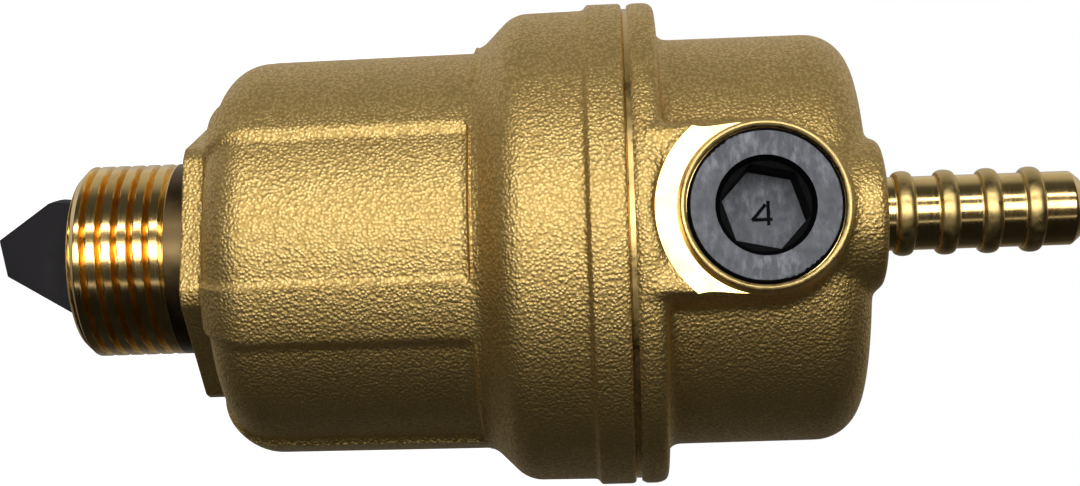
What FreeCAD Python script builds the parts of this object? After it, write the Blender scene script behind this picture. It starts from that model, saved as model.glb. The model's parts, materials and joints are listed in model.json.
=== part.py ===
import FreeCAD, Part
import math
import os

# Automatic air vent, millimetres. Z is the main axis and Z = 0 is the seat face under the hexagon. The inlet
# thread points down, the hose tail points up, and the side plug faces -Y.

# Inlet: G 3/8 pipe thread, hexagon and bore
THREAD_R = 8.331
THREAD_PITCH = 1.337
THREAD_DEPTH = 0.856
THREAD_CREST = 0.6  # flat left on each crest
THREAD_END = 10.65  # seat face to thread end
SHANK_LENGTH = 2.1  # plain shank under the hexagon
THREAD_CHAMFER = 0.9
INLET_WALL = 1.675  # between the thread's root and the bore
HEX_AF = 22.0
HEX_HEIGHT = 1.9  # seat face to the casting's shoulder
HEX_TURN = -7.6  # degrees about +Z from the side plug to the nearest flat
HEX_CORNER_CUT = 0.4517  # turned off each corner at the seat

# Lower body casting
BODY_R = 16.7
BODY_DRAFT = 0.2  # extra radius at the neck
BARREL_LENGTH = 22.4
SHOULDER_ROUND = 4.1
RIB_COUNT = 6
RIB_HEIGHT = 0.42
RIB_ANGLE = 17.0
RIB_TURN = 1.6  # degrees from the hexagon's corners to the ribs
BODY_WALL = 2.3
FLOOR_RISE = 2.5  # shoulder to the chamber's floor
NECK_LEAD = 0.05  # the 45 degree neck starts this far below the panels' top
WIDE_STEP = 3.25  # barrel to the wide part above the neck
WIDE_LENGTH = 5.9
FLANGE_LIP = 0.55  # wide part to the flange's edge
BODY_FLANGE = 3.3

# Joint between body and cover: M36 x 1 with a ring seal above the thread
JOINT_WALL = 1.65  # round the seal bore
SEAL_STEP = 0.5  # thread to the seal bore
THREAD_FIT = 0.03
SEAL_FIT = 0.1
COVER_SEAL_CORD = 1.4
SEAL_BORE_DEPTH = 3.0
SPIGOT_LENGTH = 8.4
JOINT_GAP = 0.45  # height of the groove between the two flanges
JOINT_DEPTH = 0.45

# Cover casting
COVER_FLANGE = 2.3
COVER_LEDGE = 3.25  # flange's edge to the cap
COVER_ROUND = 3.7
COVER_WALL = 2.2
COVER_ROOF = 2.5

# Side boss with its plug
PLUG_R = 6.0
RIM_WALL = 0.7
RIM_HEIGHT = 1.1
RIM_GAP = 0.9  # flange to the rim
RIM_TOP_GAP = 2.0  # rim to the top of the cap
SPOT_MARGIN = 1.7  # machined face outside the rim
BOSS_PROUD = 2.25  # machined face in front of the cap
BOSS_SET_IN = 0.2  # boss inside the rim
BOSS_DRAFT = 1.3  # extra half width at the main wall
PLUG_RECESS = 0.25  # plug face below the rim
PLUG_THREAD = 4.3
PLUG_SPIGOT = 1.6
PLUG_STEP_IN = 0.8  # thread to the spigot
PLUG_SEAL_CORD = 0.9
KEY_AF = 6.0
KEY_DEPTH = 4.6
KEY_LEAD_WIDE = 0.3859  # lead-in outside the key's corners
KEY_LEAD = 0.7
KEY_TURN = 17.6
MARK_SIZE = 1.9
MARK_HEIGHT = 0.12

# Valve seat cartridge in the bore behind the plug, held in a lug inside the cover
SEAT_DEPTH = 5.65  # plug end to the lug's inner face
LUG_EDGE = 1.8  # outside the screws
LUG_FOOT = 2.8  # below the screws
CARTRIDGE_STEP = 0.7  # plug spigot to the cartridge
CARTRIDGE_FIT = 0.04
LIP_STEP = 0.9
LIP = 0.7
CARTRIDGE_SEAL_CORD = 1.3
WAIST_DEPTH = 1.8
AIR_HOLE_R = 0.8
NOZZLE_R = 1.3
NOZZLE_REACH = 1.0  # nozzle tip in front of the lug face
NOZZLE_HOLE_R = 0.5

# Hose tail
TAIL_SET_BACK = 4.0  # lug face to the tail's axis
TAIL_BOSS_R = 6.07
TAIL_BOSS_RISE = 0.85  # above the cap
TAIL_R = 2.925
TAIL_BORE_R = 1.4
TAIL_FLOOR = 0.55  # metal between the tail's bore and the plug's bore
TAIL_NOSE = 3.11  # last bead to the end
TAIL_CHAMFER = 0.7
BEAD_RISE = 0.45
BEAD_WIDTH = 1.4
BEAD_FIRST = 1.7  # boss face to the first bead's middle
BEAD_STEP = 3.33
BEAD_COUNT = 4
TAIL_SEAL = 0.7

# Float and its tongue
FLOAT_CLEAR = 1.2  # float to the chamber's wall
FLOAT_WALL = 0.8
FLOAT_ROUND = 3.0
FLOAT_TRAVEL = 2.0
LID_GAP = 0.6  # lid to the lug with the float up
FOOT_SET_IN = 2.7  # inside the float's wall
FOOT_HEIGHT = 1.3
FOOT_GAP = 0.3  # foot to chamber floor with the float down
LID = 1.0
SOCKET_R = 2.5
SOCKET_DEPTH = 5.5
STEM_CLEAR = 0.5  # stem to the inlet's bore
STEM_FIN = 1.6
TONGUE_INSIDE = 1.15  # blade inside the thread's end
TONGUE_SIDE = 2.05  # from the thread's end to the widest part of the blade
TONGUE_POINT = 5.26
TONGUE_WIDER = 0.3  # widest part of the blade outside the fins
TONGUE_HALF = 2.7

# Lever, its bracket and pin
PIVOT_DROP = 4.55  # nozzle to the pin
PIVOT_REACH = 2.5  # lug face to the pin
PIN_R = 0.8
PIN_FIT = 0.05
CLIP = 0.4
CLIP_GAP = 0.15
PIN_END = 0.2
LEVER_REACH = 8.5  # pivot to the hook
LEVER_THICK = 1.2
LEVER_HUB_R = 1.6
LEVER_HUB_HALF = 2.2
LEVER_SET_IN = 0.5  # arm inside the hub's ends
BRACKET_SHEET = 0.6
EAR_GAP = 0.35  # hub to ear
BRACKET_EDGE = 1.4  # outside the screws
SCREW_DROP = 5.65  # nozzle to the screws
SCREW_R = 0.98
SCREW_HEAD_R = 1.8
SCREW_HEAD = 1.2
SCREW_LENGTH = 5.0
SCREW_CLEAR = 0.1  # screw head to the pin clips
PAD_MARGIN = 0.6  # pad outside the nozzle
PAD = 1.2
PAD_GAP = 0.05  # pad to nozzle with the valve shut
HOOK_GAP = 0.5
HOOK_SHEET = 1.2
HOOK_SIDE = 1.4  # beside the window

# Heights worked out from the sizes above, upwards from the seat face
BODY_FLOOR = HEX_HEIGHT + FLOOR_RISE
PANEL_TOP = HEX_HEIGHT + BARREL_LENGTH
NECK_LOW_Z = PANEL_TOP - NECK_LEAD
NECK_Z = NECK_LOW_Z + WIDE_STEP
FLANGE_Z = NECK_Z + WIDE_LENGTH
BODY_TOP = FLANGE_Z + BODY_FLANGE
SPIGOT_END = BODY_TOP - SPIGOT_LENGTH
COVER_BOTTOM = BODY_TOP + JOINT_GAP
FLANGE_TOP = COVER_BOTTOM + COVER_FLANGE
RIM_R = PLUG_R + RIM_WALL
PLUG_Z = FLANGE_TOP + RIM_GAP + RIM_R
COVER_TOP = PLUG_Z + RIM_R + RIM_TOP_GAP
PIVOT_Z = PLUG_Z - PIVOT_DROP
SCREW_Z = PLUG_Z - SCREW_DROP
LUG_BOTTOM = SCREW_Z - LUG_FOOT
FLOAT_BOTTOM = BODY_FLOOR + FOOT_GAP + FOOT_HEIGHT
FLOAT_TOP = LUG_BOTTOM - LID_GAP - FLOAT_TRAVEL

# Radii, and distances from the main axis towards the plug
INLET_R = THREAD_R - THREAD_DEPTH - INLET_WALL
STEM_R = INLET_R - STEM_CLEAR
HEX_CORNER_R = HEX_AF / math.sqrt(3) - HEX_CORNER_CUT
CHAMBER_R = BODY_R - BODY_WALL
FLOAT_R = CHAMBER_R - FLOAT_CLEAR
FLOAT_FOOT_R = FLOAT_R - FOOT_SET_IN
WIDE_R = BODY_R + BODY_DRAFT + WIDE_STEP
FLANGE_R = WIDE_R + FLANGE_LIP
SEAL_BORE_R = WIDE_R - JOINT_WALL
COVER_THREAD_R = SEAL_BORE_R - SEAL_STEP
COVER_R = FLANGE_R - COVER_LEDGE
CAVITY_R = COVER_R - COVER_WALL
BOSS_FACE = COVER_R + BOSS_PROUD
BOSS_HALF = RIM_R - BOSS_SET_IN
SPOT_R = RIM_R + SPOT_MARGIN
RIM_FACE = BOSS_FACE + RIM_HEIGHT
PLUG_FACE = RIM_FACE - PLUG_RECESS
PLUG_STEP = PLUG_FACE - PLUG_THREAD
PLUG_END = PLUG_STEP - PLUG_SPIGOT
PLUG_SPIGOT_R = PLUG_R - PLUG_STEP_IN
KEY_LEAD_R = KEY_AF / math.sqrt(3) + KEY_LEAD_WIDE
LUG_FACE = PLUG_END - SEAT_DEPTH
CARTRIDGE_END = PLUG_END - 0.1
CARTRIDGE_R = PLUG_SPIGOT_R - CARTRIDGE_STEP
LIP_R = CARTRIDGE_R - LIP_STEP
WAIST_R = CARTRIDGE_R - WAIST_DEPTH
PAD_R = NOZZLE_R + PAD_MARGIN

# Hose tail, over the waist of the cartridge
TAIL_Y = -LUG_FACE - TAIL_SET_BACK
TAIL_BOSS_TOP = COVER_TOP + TAIL_BOSS_RISE
TAIL_SEAT = PLUG_Z + PLUG_SPIGOT_R + SEAL_FIT + TAIL_FLOOR + TAIL_SEAL
TAIL_END = TAIL_BOSS_TOP + BEAD_FIRST + (BEAD_COUNT - 1) * BEAD_STEP + BEAD_WIDTH / 2 + TAIL_NOSE
BEAD_R = TAIL_R + BEAD_RISE

# Tongue below the thread's end
TONGUE_TOP = -THREAD_END + TONGUE_INSIDE
TONGUE_SHOULDER = -THREAD_END - TONGUE_SIDE
TONGUE_TIP = TONGUE_SHOULDER - TONGUE_POINT

# Lever and what fits beside it, outwards from its hub
PIVOT_Y = PIVOT_REACH - LUG_FACE
HOOK_Y = PIVOT_Y + LEVER_REACH
LEVER_SWING = math.degrees(FLOAT_TRAVEL / LEVER_REACH)
LEVER_HALF = LEVER_HUB_HALF - LEVER_SET_IN
EAR_INSIDE = LEVER_HUB_HALF + EAR_GAP
EAR_OUTSIDE = EAR_INSIDE + BRACKET_SHEET
CLIP_X = EAR_OUTSIDE + CLIP_GAP
SCREW_X = CLIP_X + CLIP + SCREW_CLEAR + SCREW_HEAD_R
LUG_HALF = SCREW_X + LUG_EDGE
BRACKET_HALF = SCREW_X + BRACKET_EDGE
HOOK_HALF = LEVER_HALF + HOOK_GAP + HOOK_SIDE
V = FreeCAD.Vector
UP = V(0, 0, 1)
OUT = V(0, -1, 0)


def disc(r, z0, z1, x=0.0, y=0.0):
    return Part.makeCylinder(r, z1 - z0, V(x, y, z0), UP)


def side_disc(r, out0, out1, z=PLUG_Z, x=0.0):
    """Cylinder along -Y, between two distances from the main axis."""
    return Part.makeCylinder(r, out1 - out0, V(x, -out0, z), OUT)


def block(x0, x1, y0, y1, z0, z1):
    return Part.makeBox(x1 - x0, y1 - y0, z1 - z0, V(x0, y0, z0))


def outline(points):
    """Closed wire through (a, b, rounding) points, each corner rounded by its own radius."""
    corners = [V(p[0], p[1], 0) for p in points]
    starts, ends, arcs = [], [], []
    for i, p in enumerate(points):
        here, before, after = corners[i], corners[i - 1], corners[(i + 1) % len(points)]
        if len(p) < 3 or p[2] == 0:
            starts.append(here)
            ends.append(here)
            arcs.append(None)
            continue
        u, w = (before - here).normalize(), (after - here).normalize()
        half = u.getAngle(w) / 2
        reach = p[2] / math.tan(half)
        middle = (u + w).normalize()
        starts.append(here + u * reach)
        ends.append(here + w * reach)
        arcs.append(here + middle * (p[2] / math.sin(half) - p[2]))
    edges = []
    for i in range(len(points)):
        if arcs[i]:
            edges.append(Part.Arc(starts[i], arcs[i], ends[i]).toShape())
        following = starts[(i + 1) % len(points)]
        if (following - ends[i]).Length > 1e-6:
            edges.append(Part.makeLine(ends[i], following))
    return Part.Wire(edges)


def turned(points, angle=360.0, start=0.0):
    """Solid of revolution about Z from (radius, z, rounding) points."""
    face = Part.Face(outline(points))
    face.rotate(V(), V(1, 0, 0), 90)
    face.rotate(V(), UP, start)
    return face.revolve(V(), UP, angle)


def ring_seal(bore_r, cord, z):
    return Part.makeTorus(bore_r - cord / 2, cord / 2, V(0, 0, z), UP)


def to_side(shape, out, z=PLUG_Z):
    """Turns a shape built up +Z so that it points along -Y, with its Z = 0 at the given distance."""
    shape.rotate(V(), V(1, 0, 0), 90)
    shape.translate(V(0, -out, z))
    return shape


def hexagon(flats, z0, z1, turn):
    """Hexagonal prism with the middle of one flat facing -Y, then turned about Z."""
    r = flats / math.sqrt(3)
    ring = [V(r * math.cos(math.radians(a)), r * math.sin(math.radians(a)), z0) for a in range(0, 361, 60)]
    prism = Part.Face(Part.makePolygon(ring)).extrude(V(0, 0, z1 - z0))
    prism.rotate(V(), UP, turn)
    return prism


def inlet_thread():
    """Threaded inlet, plain shank and end chamfer."""
    end = -THREAD_END
    core = turned(
        [(0, end), (THREAD_R - THREAD_CHAMFER, end), (THREAD_R, end + THREAD_CHAMFER),
         (THREAD_R, HEX_HEIGHT + 1), (0, HEX_HEIGHT + 1)]
    )
    helix = Part.makeLongHelix(THREAD_PITCH, THREAD_END - SHANK_LENGTH + THREAD_PITCH, THREAD_R)
    helix.translate(V(0, 0, end - THREAD_PITCH))
    half_mouth = (THREAD_PITCH - THREAD_CREST) / 2
    slope = half_mouth / THREAD_DEPTH * 0.72
    root = half_mouth - slope * THREAD_DEPTH
    over = 0.25
    z = end - THREAD_PITCH
    groove = Part.makePolygon(
        [V(THREAD_R - THREAD_DEPTH, 0, z - root), V(THREAD_R + over, 0, z - half_mouth - slope * over),
         V(THREAD_R + over, 0, z + half_mouth + slope * over), V(THREAD_R - THREAD_DEPTH, 0, z + root),
         V(THREAD_R - THREAD_DEPTH, 0, z - root)]
    )
    cutter = Part.Wire(helix.Edges).makePipeShell([groove], True, True)
    return core.cut(cutter)


def barrel_profile(grow):
    """Outside of the lower body's barrel, from the shoulder to the neck, with a raised or plain surface."""
    return [
        (0, HEX_HEIGHT + RIB_HEIGHT - grow),
        (BODY_R + grow, HEX_HEIGHT + RIB_HEIGHT - grow, SHOULDER_ROUND + grow),
        (BODY_R + grow + BODY_DRAFT, PANEL_TOP),
        (0, PANEL_TOP),
    ]


def ribs():
    """Six raised strips that run from the hexagon's corners over the shoulder to the neck."""
    shapes = []
    for i in range(RIB_COUNT):
        strip = turned(barrel_profile(RIB_HEIGHT), RIB_ANGLE, -RIB_ANGLE / 2)
        strip = strip.cut(disc(BODY_R - BODY_WALL + 0.6, HEX_HEIGHT + SHOULDER_ROUND, PANEL_TOP + 1))
        strip.rotate(V(), UP, -60 + HEX_TURN + RIB_TURN + i * 360.0 / RIB_COUNT)
        shapes.append(strip)
    return shapes


def lower_body():
    neck_r = BODY_R + BODY_DRAFT + RIB_HEIGHT
    wide = turned(
        [(0, PANEL_TOP - 1), (neck_r, PANEL_TOP - 1), (neck_r, NECK_LOW_Z + RIB_HEIGHT, 2.0),
         (WIDE_R, NECK_Z, 3.0), (WIDE_R, FLANGE_Z, 0.4), (FLANGE_R, FLANGE_Z + 0.4, 0.2),
         (FLANGE_R, BODY_TOP, 0.3), (0, BODY_TOP)]
    )
    wide = wide.cut(disc(neck_r + 1, 0, PANEL_TOP))
    hexagon_head = hexagon(HEX_AF, 0, HEX_HEIGHT + 2, HEX_TURN).common(
        turned([(0, 0), (HEX_CORNER_R, 0), (HEX_CORNER_R + 1.5, 1.0), (HEX_CORNER_R + 1.5, HEX_HEIGHT + 2),
                (0, HEX_HEIGHT + 2)])
    )
    outside = turned(barrel_profile(0.0)).fuse([*ribs(), wide, hexagon_head, inlet_thread()])
    seal_floor = BODY_TOP - SEAL_BORE_DEPTH
    inside = turned(
        [(0, -THREAD_END - 1), (INLET_R + 1.6, -THREAD_END - 1), (INLET_R, -THREAD_END + 0.6),
         (INLET_R, BODY_FLOOR, 0.5), (CHAMBER_R, BODY_FLOOR, FLOAT_ROUND + 0.2),
         (CHAMBER_R, SPIGOT_END - 0.4), (COVER_THREAD_R, SPIGOT_END - 0.4), (COVER_THREAD_R, seal_floor),
         (SEAL_BORE_R, seal_floor + 0.5), (SEAL_BORE_R, BODY_TOP + 1), (0, BODY_TOP + 1)]
    )
    return outside.cut(inside).removeSplitter()


def side_boss():
    """Drafted pad from the cover's flange to a round end about the plug, before machining."""
    def section(half, out):
        low, high = FLANGE_TOP - 1.0, PLUG_Z
        left, right = V(-half, -out, low), V(half, -out, low)
        left_high, right_high = V(-half, -out, high), V(half, -out, high)
        arc = Part.Arc(right_high, V(0, -out, high + half), left_high).toShape()
        return Part.Wire([Part.makeLine(left, right), Part.makeLine(right, right_high), arc,
                          Part.makeLine(left_high, left)])
    root, tip = section(BOSS_HALF + BOSS_DRAFT, COVER_R - 5), section(BOSS_HALF, BOSS_FACE + 0.35)
    return Part.makeLoft([root, tip], True)


def cover():
    shell = turned(
        [(0, SPIGOT_END), (COVER_THREAD_R - THREAD_FIT, SPIGOT_END, 0.6),
         (COVER_THREAD_R - THREAD_FIT, BODY_TOP - SEAL_BORE_DEPTH + 0.1),
         (SEAL_BORE_R - SEAL_FIT, BODY_TOP - SEAL_BORE_DEPTH + 0.6), (SEAL_BORE_R - SEAL_FIT, BODY_TOP),
         (FLANGE_R - JOINT_DEPTH, BODY_TOP), (FLANGE_R - JOINT_DEPTH, COVER_BOTTOM),
         (FLANGE_R, COVER_BOTTOM, 0.25), (FLANGE_R, FLANGE_TOP, 0.8), (COVER_R, FLANGE_TOP, 0.8),
         (COVER_R, COVER_TOP, COVER_ROUND), (0, COVER_TOP)]
    )
    boss_top = turned([(0, PLUG_Z), (TAIL_BOSS_R, PLUG_Z), (TAIL_BOSS_R, TAIL_BOSS_TOP, 0.8), (0, TAIL_BOSS_TOP)])
    boss_top.translate(V(0, TAIL_Y, 0))
    outside = shell.fuse([side_boss(), boss_top])
    spot = side_disc(SPOT_R, BOSS_FACE, BOSS_FACE + 4)
    rim = to_side(
        turned([(0, 0), (RIM_R, 0), (RIM_R - 0.15, RIM_HEIGHT, 0.2), (0, RIM_HEIGHT)]), BOSS_FACE - 0.001
    )
    rim.translate(V(0, 0.001, 0))
    outside = outside.cut(spot).fuse(rim)
    roof = COVER_TOP - COVER_ROOF
    cavity = turned([(0, SPIGOT_END - 1), (CAVITY_R, SPIGOT_END - 1), (CAVITY_R, roof, 2.0), (0, roof)])
    lug = block(-LUG_HALF, LUG_HALF, -CAVITY_R - 1, -LUG_FACE, LUG_BOTTOM, roof + 0.5)
    lug = lug.common(disc(CAVITY_R + 0.5, LUG_BOTTOM, roof + 0.5))
    machining = [
        side_disc(PLUG_R, PLUG_STEP, RIM_FACE + 1),
        side_disc(PLUG_SPIGOT_R + SEAL_FIT, PLUG_END - 0.05, PLUG_STEP + 0.1),
        side_disc(CARTRIDGE_R, LUG_FACE + LIP, PLUG_END),
        side_disc(LIP_R, LUG_FACE - 1, LUG_FACE + LIP + 0.1),
        disc(TAIL_R, TAIL_SEAT - TAIL_SEAL, TAIL_BOSS_TOP + 1, 0, TAIL_Y),
        disc(TAIL_BORE_R, PLUG_Z, TAIL_SEAT, 0, TAIL_Y),
        side_disc(SCREW_R, LUG_FACE - 1, LUG_FACE + SCREW_LENGTH, SCREW_Z, SCREW_X),
        side_disc(SCREW_R, LUG_FACE - 1, LUG_FACE + SCREW_LENGTH, SCREW_Z, -SCREW_X),
    ]
    groove = disc(SEAL_BORE_R + 1, 0, COVER_SEAL_CORD + 0.3).cut(
        disc(SEAL_BORE_R - COVER_SEAL_CORD, -1, COVER_SEAL_CORD + 1))
    groove.translate(V(0, 0, BODY_TOP - 0.5 - COVER_SEAL_CORD - 0.3))
    groove = groove.common(disc(SEAL_BORE_R, 0, BODY_TOP))
    return outside.cut(cavity.cut(lug)).cut([*machining, groove]).removeSplitter()


def cover_seal():
    return ring_seal(SEAL_BORE_R, COVER_SEAL_CORD, BODY_TOP - 0.5 - (COVER_SEAL_CORD + 0.3) / 2)


def hose_tail():
    """Beaded tube, screwed into the round boss on the cover."""
    points = [(TAIL_BORE_R, TAIL_SEAT), (TAIL_R, TAIL_SEAT)]
    for i in range(BEAD_COUNT):
        z = TAIL_BOSS_TOP + BEAD_FIRST + i * BEAD_STEP
        points += [(TAIL_R, z - BEAD_WIDTH / 2), (BEAD_R, z - BEAD_WIDTH / 2, 0.4),
                   (BEAD_R, z + BEAD_WIDTH / 2, 0.4), (TAIL_R, z + BEAD_WIDTH / 2)]
    points += [(TAIL_R, TAIL_END - TAIL_CHAMFER), (TAIL_R - 0.6, TAIL_END), (TAIL_BORE_R, TAIL_END)]
    tail = turned(points)
    tail.translate(V(0, TAIL_Y, 0))
    return tail


def hose_tail_seal():
    z = TAIL_SEAT - TAIL_SEAL
    return disc(TAIL_R, z, TAIL_SEAT, 0, TAIL_Y).cut(disc(TAIL_BORE_R, z - 1, TAIL_SEAT + 1, 0, TAIL_Y))


def side_plug():
    """Plastic screw plug with a hexagon key socket; a raised mould number stands on the socket's floor."""
    length = PLUG_THREAD + PLUG_SPIGOT
    land = PLUG_SPIGOT_R - PLUG_SEAL_CORD + SEAL_FIT
    low = (PLUG_SPIGOT - PLUG_SEAL_CORD) / 2
    body = turned(
        [(0, 0), (PLUG_SPIGOT_R, 0), (PLUG_SPIGOT_R, low), (land, low), (land, low + PLUG_SEAL_CORD),
         (PLUG_SPIGOT_R, low + PLUG_SEAL_CORD), (PLUG_SPIGOT_R, PLUG_SPIGOT),
         (PLUG_R - THREAD_FIT, PLUG_SPIGOT), (PLUG_R - THREAD_FIT, length, 0.35), (0, length)]
    )
    floor = length - KEY_DEPTH
    socket = hexagon(KEY_AF, floor, length + 1, KEY_TURN)
    lead = turned([(0, length - KEY_LEAD), (KEY_LEAD_R - 0.35, length - KEY_LEAD), (KEY_LEAD_R, length),
                   (KEY_LEAD_R, length + 1), (0, length + 1)])
    size, pen = MARK_SIZE, MARK_SIZE / 8
    mark = [
        block(size * 0.2, size * 0.2 + pen, -size / 2, size / 2, floor, floor + MARK_HEIGHT),
        block(-size * 0.4, size * 0.42, -size * 0.2 - pen, -size * 0.2, floor, floor + MARK_HEIGHT),
    ]
    arm = block(0, size * 0.86, 0, pen, floor, floor + MARK_HEIGHT)
    arm.rotate(V(), UP, 49)
    arm.translate(V(-size * 0.36, -size * 0.2 - pen, 0))
    mark = mark[0].fuse([mark[1], arm])
    mark.rotate(V(), UP, 90)
    plug = body.cut([socket, lead]).fuse(mark)
    return to_side(plug, PLUG_END)


def side_plug_seal():
    seal = ring_seal(PLUG_SPIGOT_R + SEAL_FIT, PLUG_SEAL_CORD, PLUG_SPIGOT / 2)
    return to_side(seal, PLUG_END)


def seat_cartridge():
    """Brass insert that carries the nozzle; its waist lets the air across to the hose tail."""
    length = CARTRIDGE_END - LUG_FACE - LIP
    r = CARTRIDGE_R - CARTRIDGE_FIT
    land = CARTRIDGE_R - CARTRIDGE_SEAL_CORD
    groove = CARTRIDGE_SEAL_CORD + 0.2
    waist = -TAIL_Y - LUG_FACE - LIP
    body = turned(
        [(0, -LIP), (LIP_R - SEAL_FIT, -LIP), (LIP_R - SEAL_FIT, 0), (r, 0), (r, 0.4), (land, 0.4),
         (land, 0.4 + groove), (r, 0.4 + groove), (r, waist - 1.0), (WAIST_R, waist - 0.7),
         (WAIST_R, waist + 0.7), (r, waist + 1.0), (r, length), (0, length)]
    )
    cross = Part.makeCylinder(AIR_HOLE_R * 0.8, 2 * r, V(-r, 0, waist), V(1, 0, 0))
    body = body.cut([disc(AIR_HOLE_R, 1.0, waist + 0.5), disc(NOZZLE_R, -LIP - 1, 1.0), cross])
    return to_side(body, LUG_FACE + LIP)


def cartridge_seal():
    seal = ring_seal(CARTRIDGE_R, CARTRIDGE_SEAL_CORD, 0.4 + (CARTRIDGE_SEAL_CORD + 0.2) / 2)
    return to_side(seal, LUG_FACE + LIP)


def seat_nozzle():
    reach = NOZZLE_REACH + LIP
    nozzle = turned(
        [(NOZZLE_HOLE_R, -reach), (NOZZLE_R - 0.4, -reach), (NOZZLE_R, -reach + 0.6), (NOZZLE_R, 1.0),
         (NOZZLE_HOLE_R, 1.0)]
    )
    return to_side(nozzle, LUG_FACE + LIP)


def lever_bracket():
    """Bent sheet: a plate screwed to the lug, with an opening round the nozzle and two ears for the pin."""
    face, front = -LUG_FACE, -LUG_FACE + BRACKET_SHEET
    plate = block(-BRACKET_HALF, BRACKET_HALF, face, front, SCREW_Z - 2.2, PLUG_Z + 3.9)
    window = side_disc(NOZZLE_R + 1.6, LUG_FACE - 2, LUG_FACE + 1)
    holes = [side_disc(SCREW_R + 0.15, LUG_FACE - 2, LUG_FACE + 1, SCREW_Z, x) for x in (-SCREW_X, SCREW_X)]
    tip = PIVOT_Y + LEVER_HUB_R
    ears = [
        block(x, x + BRACKET_SHEET, front - 0.1, PIVOT_Y, PIVOT_Z - LEVER_HUB_R, PIVOT_Z + LEVER_HUB_R).fuse(
            Part.makeCylinder(tip - PIVOT_Y, BRACKET_SHEET, V(x, PIVOT_Y, PIVOT_Z), V(1, 0, 0)))
        for x in (-EAR_OUTSIDE, EAR_INSIDE)
    ]
    pin_hole = Part.makeCylinder(PIN_R, 20, V(-10, PIVOT_Y, PIVOT_Z), V(1, 0, 0))
    return plate.cut([window, *holes]).fuse(ears).cut(pin_hole)


def bracket_screws():
    screws = []
    for x in (-SCREW_X, SCREW_X):
        head = LUG_FACE - BRACKET_SHEET
        shank = side_disc(SCREW_R, head, LUG_FACE + SCREW_LENGTH - 0.5, SCREW_Z, x)
        cap = side_disc(SCREW_HEAD_R, head - SCREW_HEAD, head, SCREW_Z, x)
        slot = block(x - SCREW_HEAD_R, x + SCREW_HEAD_R, -head + SCREW_HEAD / 2, -head + SCREW_HEAD + 1,
                     SCREW_Z - 0.25, SCREW_Z + 0.25)
        screws.append(cap.cut(slot).fuse(shank).removeSplitter())
    return Part.makeCompound(screws)


def lever_pin():
    half = CLIP_X + CLIP + PIN_END
    pin = Part.makeCylinder(PIN_R, 2 * half, V(-half, PIVOT_Y, PIVOT_Z), V(1, 0, 0))
    for x in (-CLIP_X - CLIP, CLIP_X):
        neck = Part.makeCylinder(PIN_R + 1, CLIP, V(x, PIVOT_Y, PIVOT_Z), V(1, 0, 0)).cut(
            Part.makeCylinder(PIN_R * 0.7, CLIP, V(x, PIVOT_Y, PIVOT_Z), V(1, 0, 0)))
        pin = pin.cut(neck)
    return pin


def pin_clips():
    clips = []
    for x in (-CLIP_X - CLIP, CLIP_X):
        outer = Part.makeCylinder(PIN_R * 2, CLIP, V(x, PIVOT_Y, PIVOT_Z), V(1, 0, 0))
        inner = Part.makeCylinder(PIN_R * 0.7, CLIP, V(x, PIVOT_Y, PIVOT_Z), V(1, 0, 0))
        mouth = block(x - 1, x + 1, PIVOT_Y - PIN_R * 0.5, PIVOT_Y + PIN_R * 0.5, PIVOT_Z, PIVOT_Z + 3 * PIN_R)
        clips.append(outer.cut([inner, mouth]))
    return Part.makeCompound(clips)


def open_pose(shape):
    """Turns a shape built with the valve shut back to where it stands with the float down."""
    shape.rotate(V(0, PIVOT_Y, PIVOT_Z), V(1, 0, 0), -LEVER_SWING)
    return shape


def pad_face():
    """Distance of the pad's face from the main axis with the valve shut."""
    return LUG_FACE - NOZZLE_REACH - PAD_GAP


def valve_lever():
    hub = Part.makeCylinder(LEVER_HUB_R, 2 * LEVER_HUB_HALF, V(-LEVER_HUB_HALF, PIVOT_Y, PIVOT_Z), V(1, 0, 0))
    arm = block(-LEVER_HALF, LEVER_HALF, PIVOT_Y, HOOK_Y + HOOK_SHEET, PIVOT_Z - LEVER_THICK / 2,
                PIVOT_Z + LEVER_THICK / 2)
    back = pad_face() - PAD
    post = block(-LEVER_HALF, LEVER_HALF, -back, -back + LEVER_THICK, PIVOT_Z, PLUG_Z + PAD_R * 0.6)
    cup = side_disc(PAD_R + 0.5, back - LEVER_THICK, back + PAD * 0.6)
    cup = cup.cut(side_disc(PAD_R, back, back + PAD))
    upright = open_pose(post.fuse(cup).cut(side_disc(PAD_R, back, back + PAD)))
    bore = Part.makeCylinder(PIN_R + PIN_FIT, 20, V(-10, PIVOT_Y, PIVOT_Z), V(1, 0, 0))
    return hub.fuse([arm, upright]).cut(bore).removeSplitter()


def valve_pad():
    return open_pose(side_disc(PAD_R, pad_face() - PAD, pad_face()))


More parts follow.
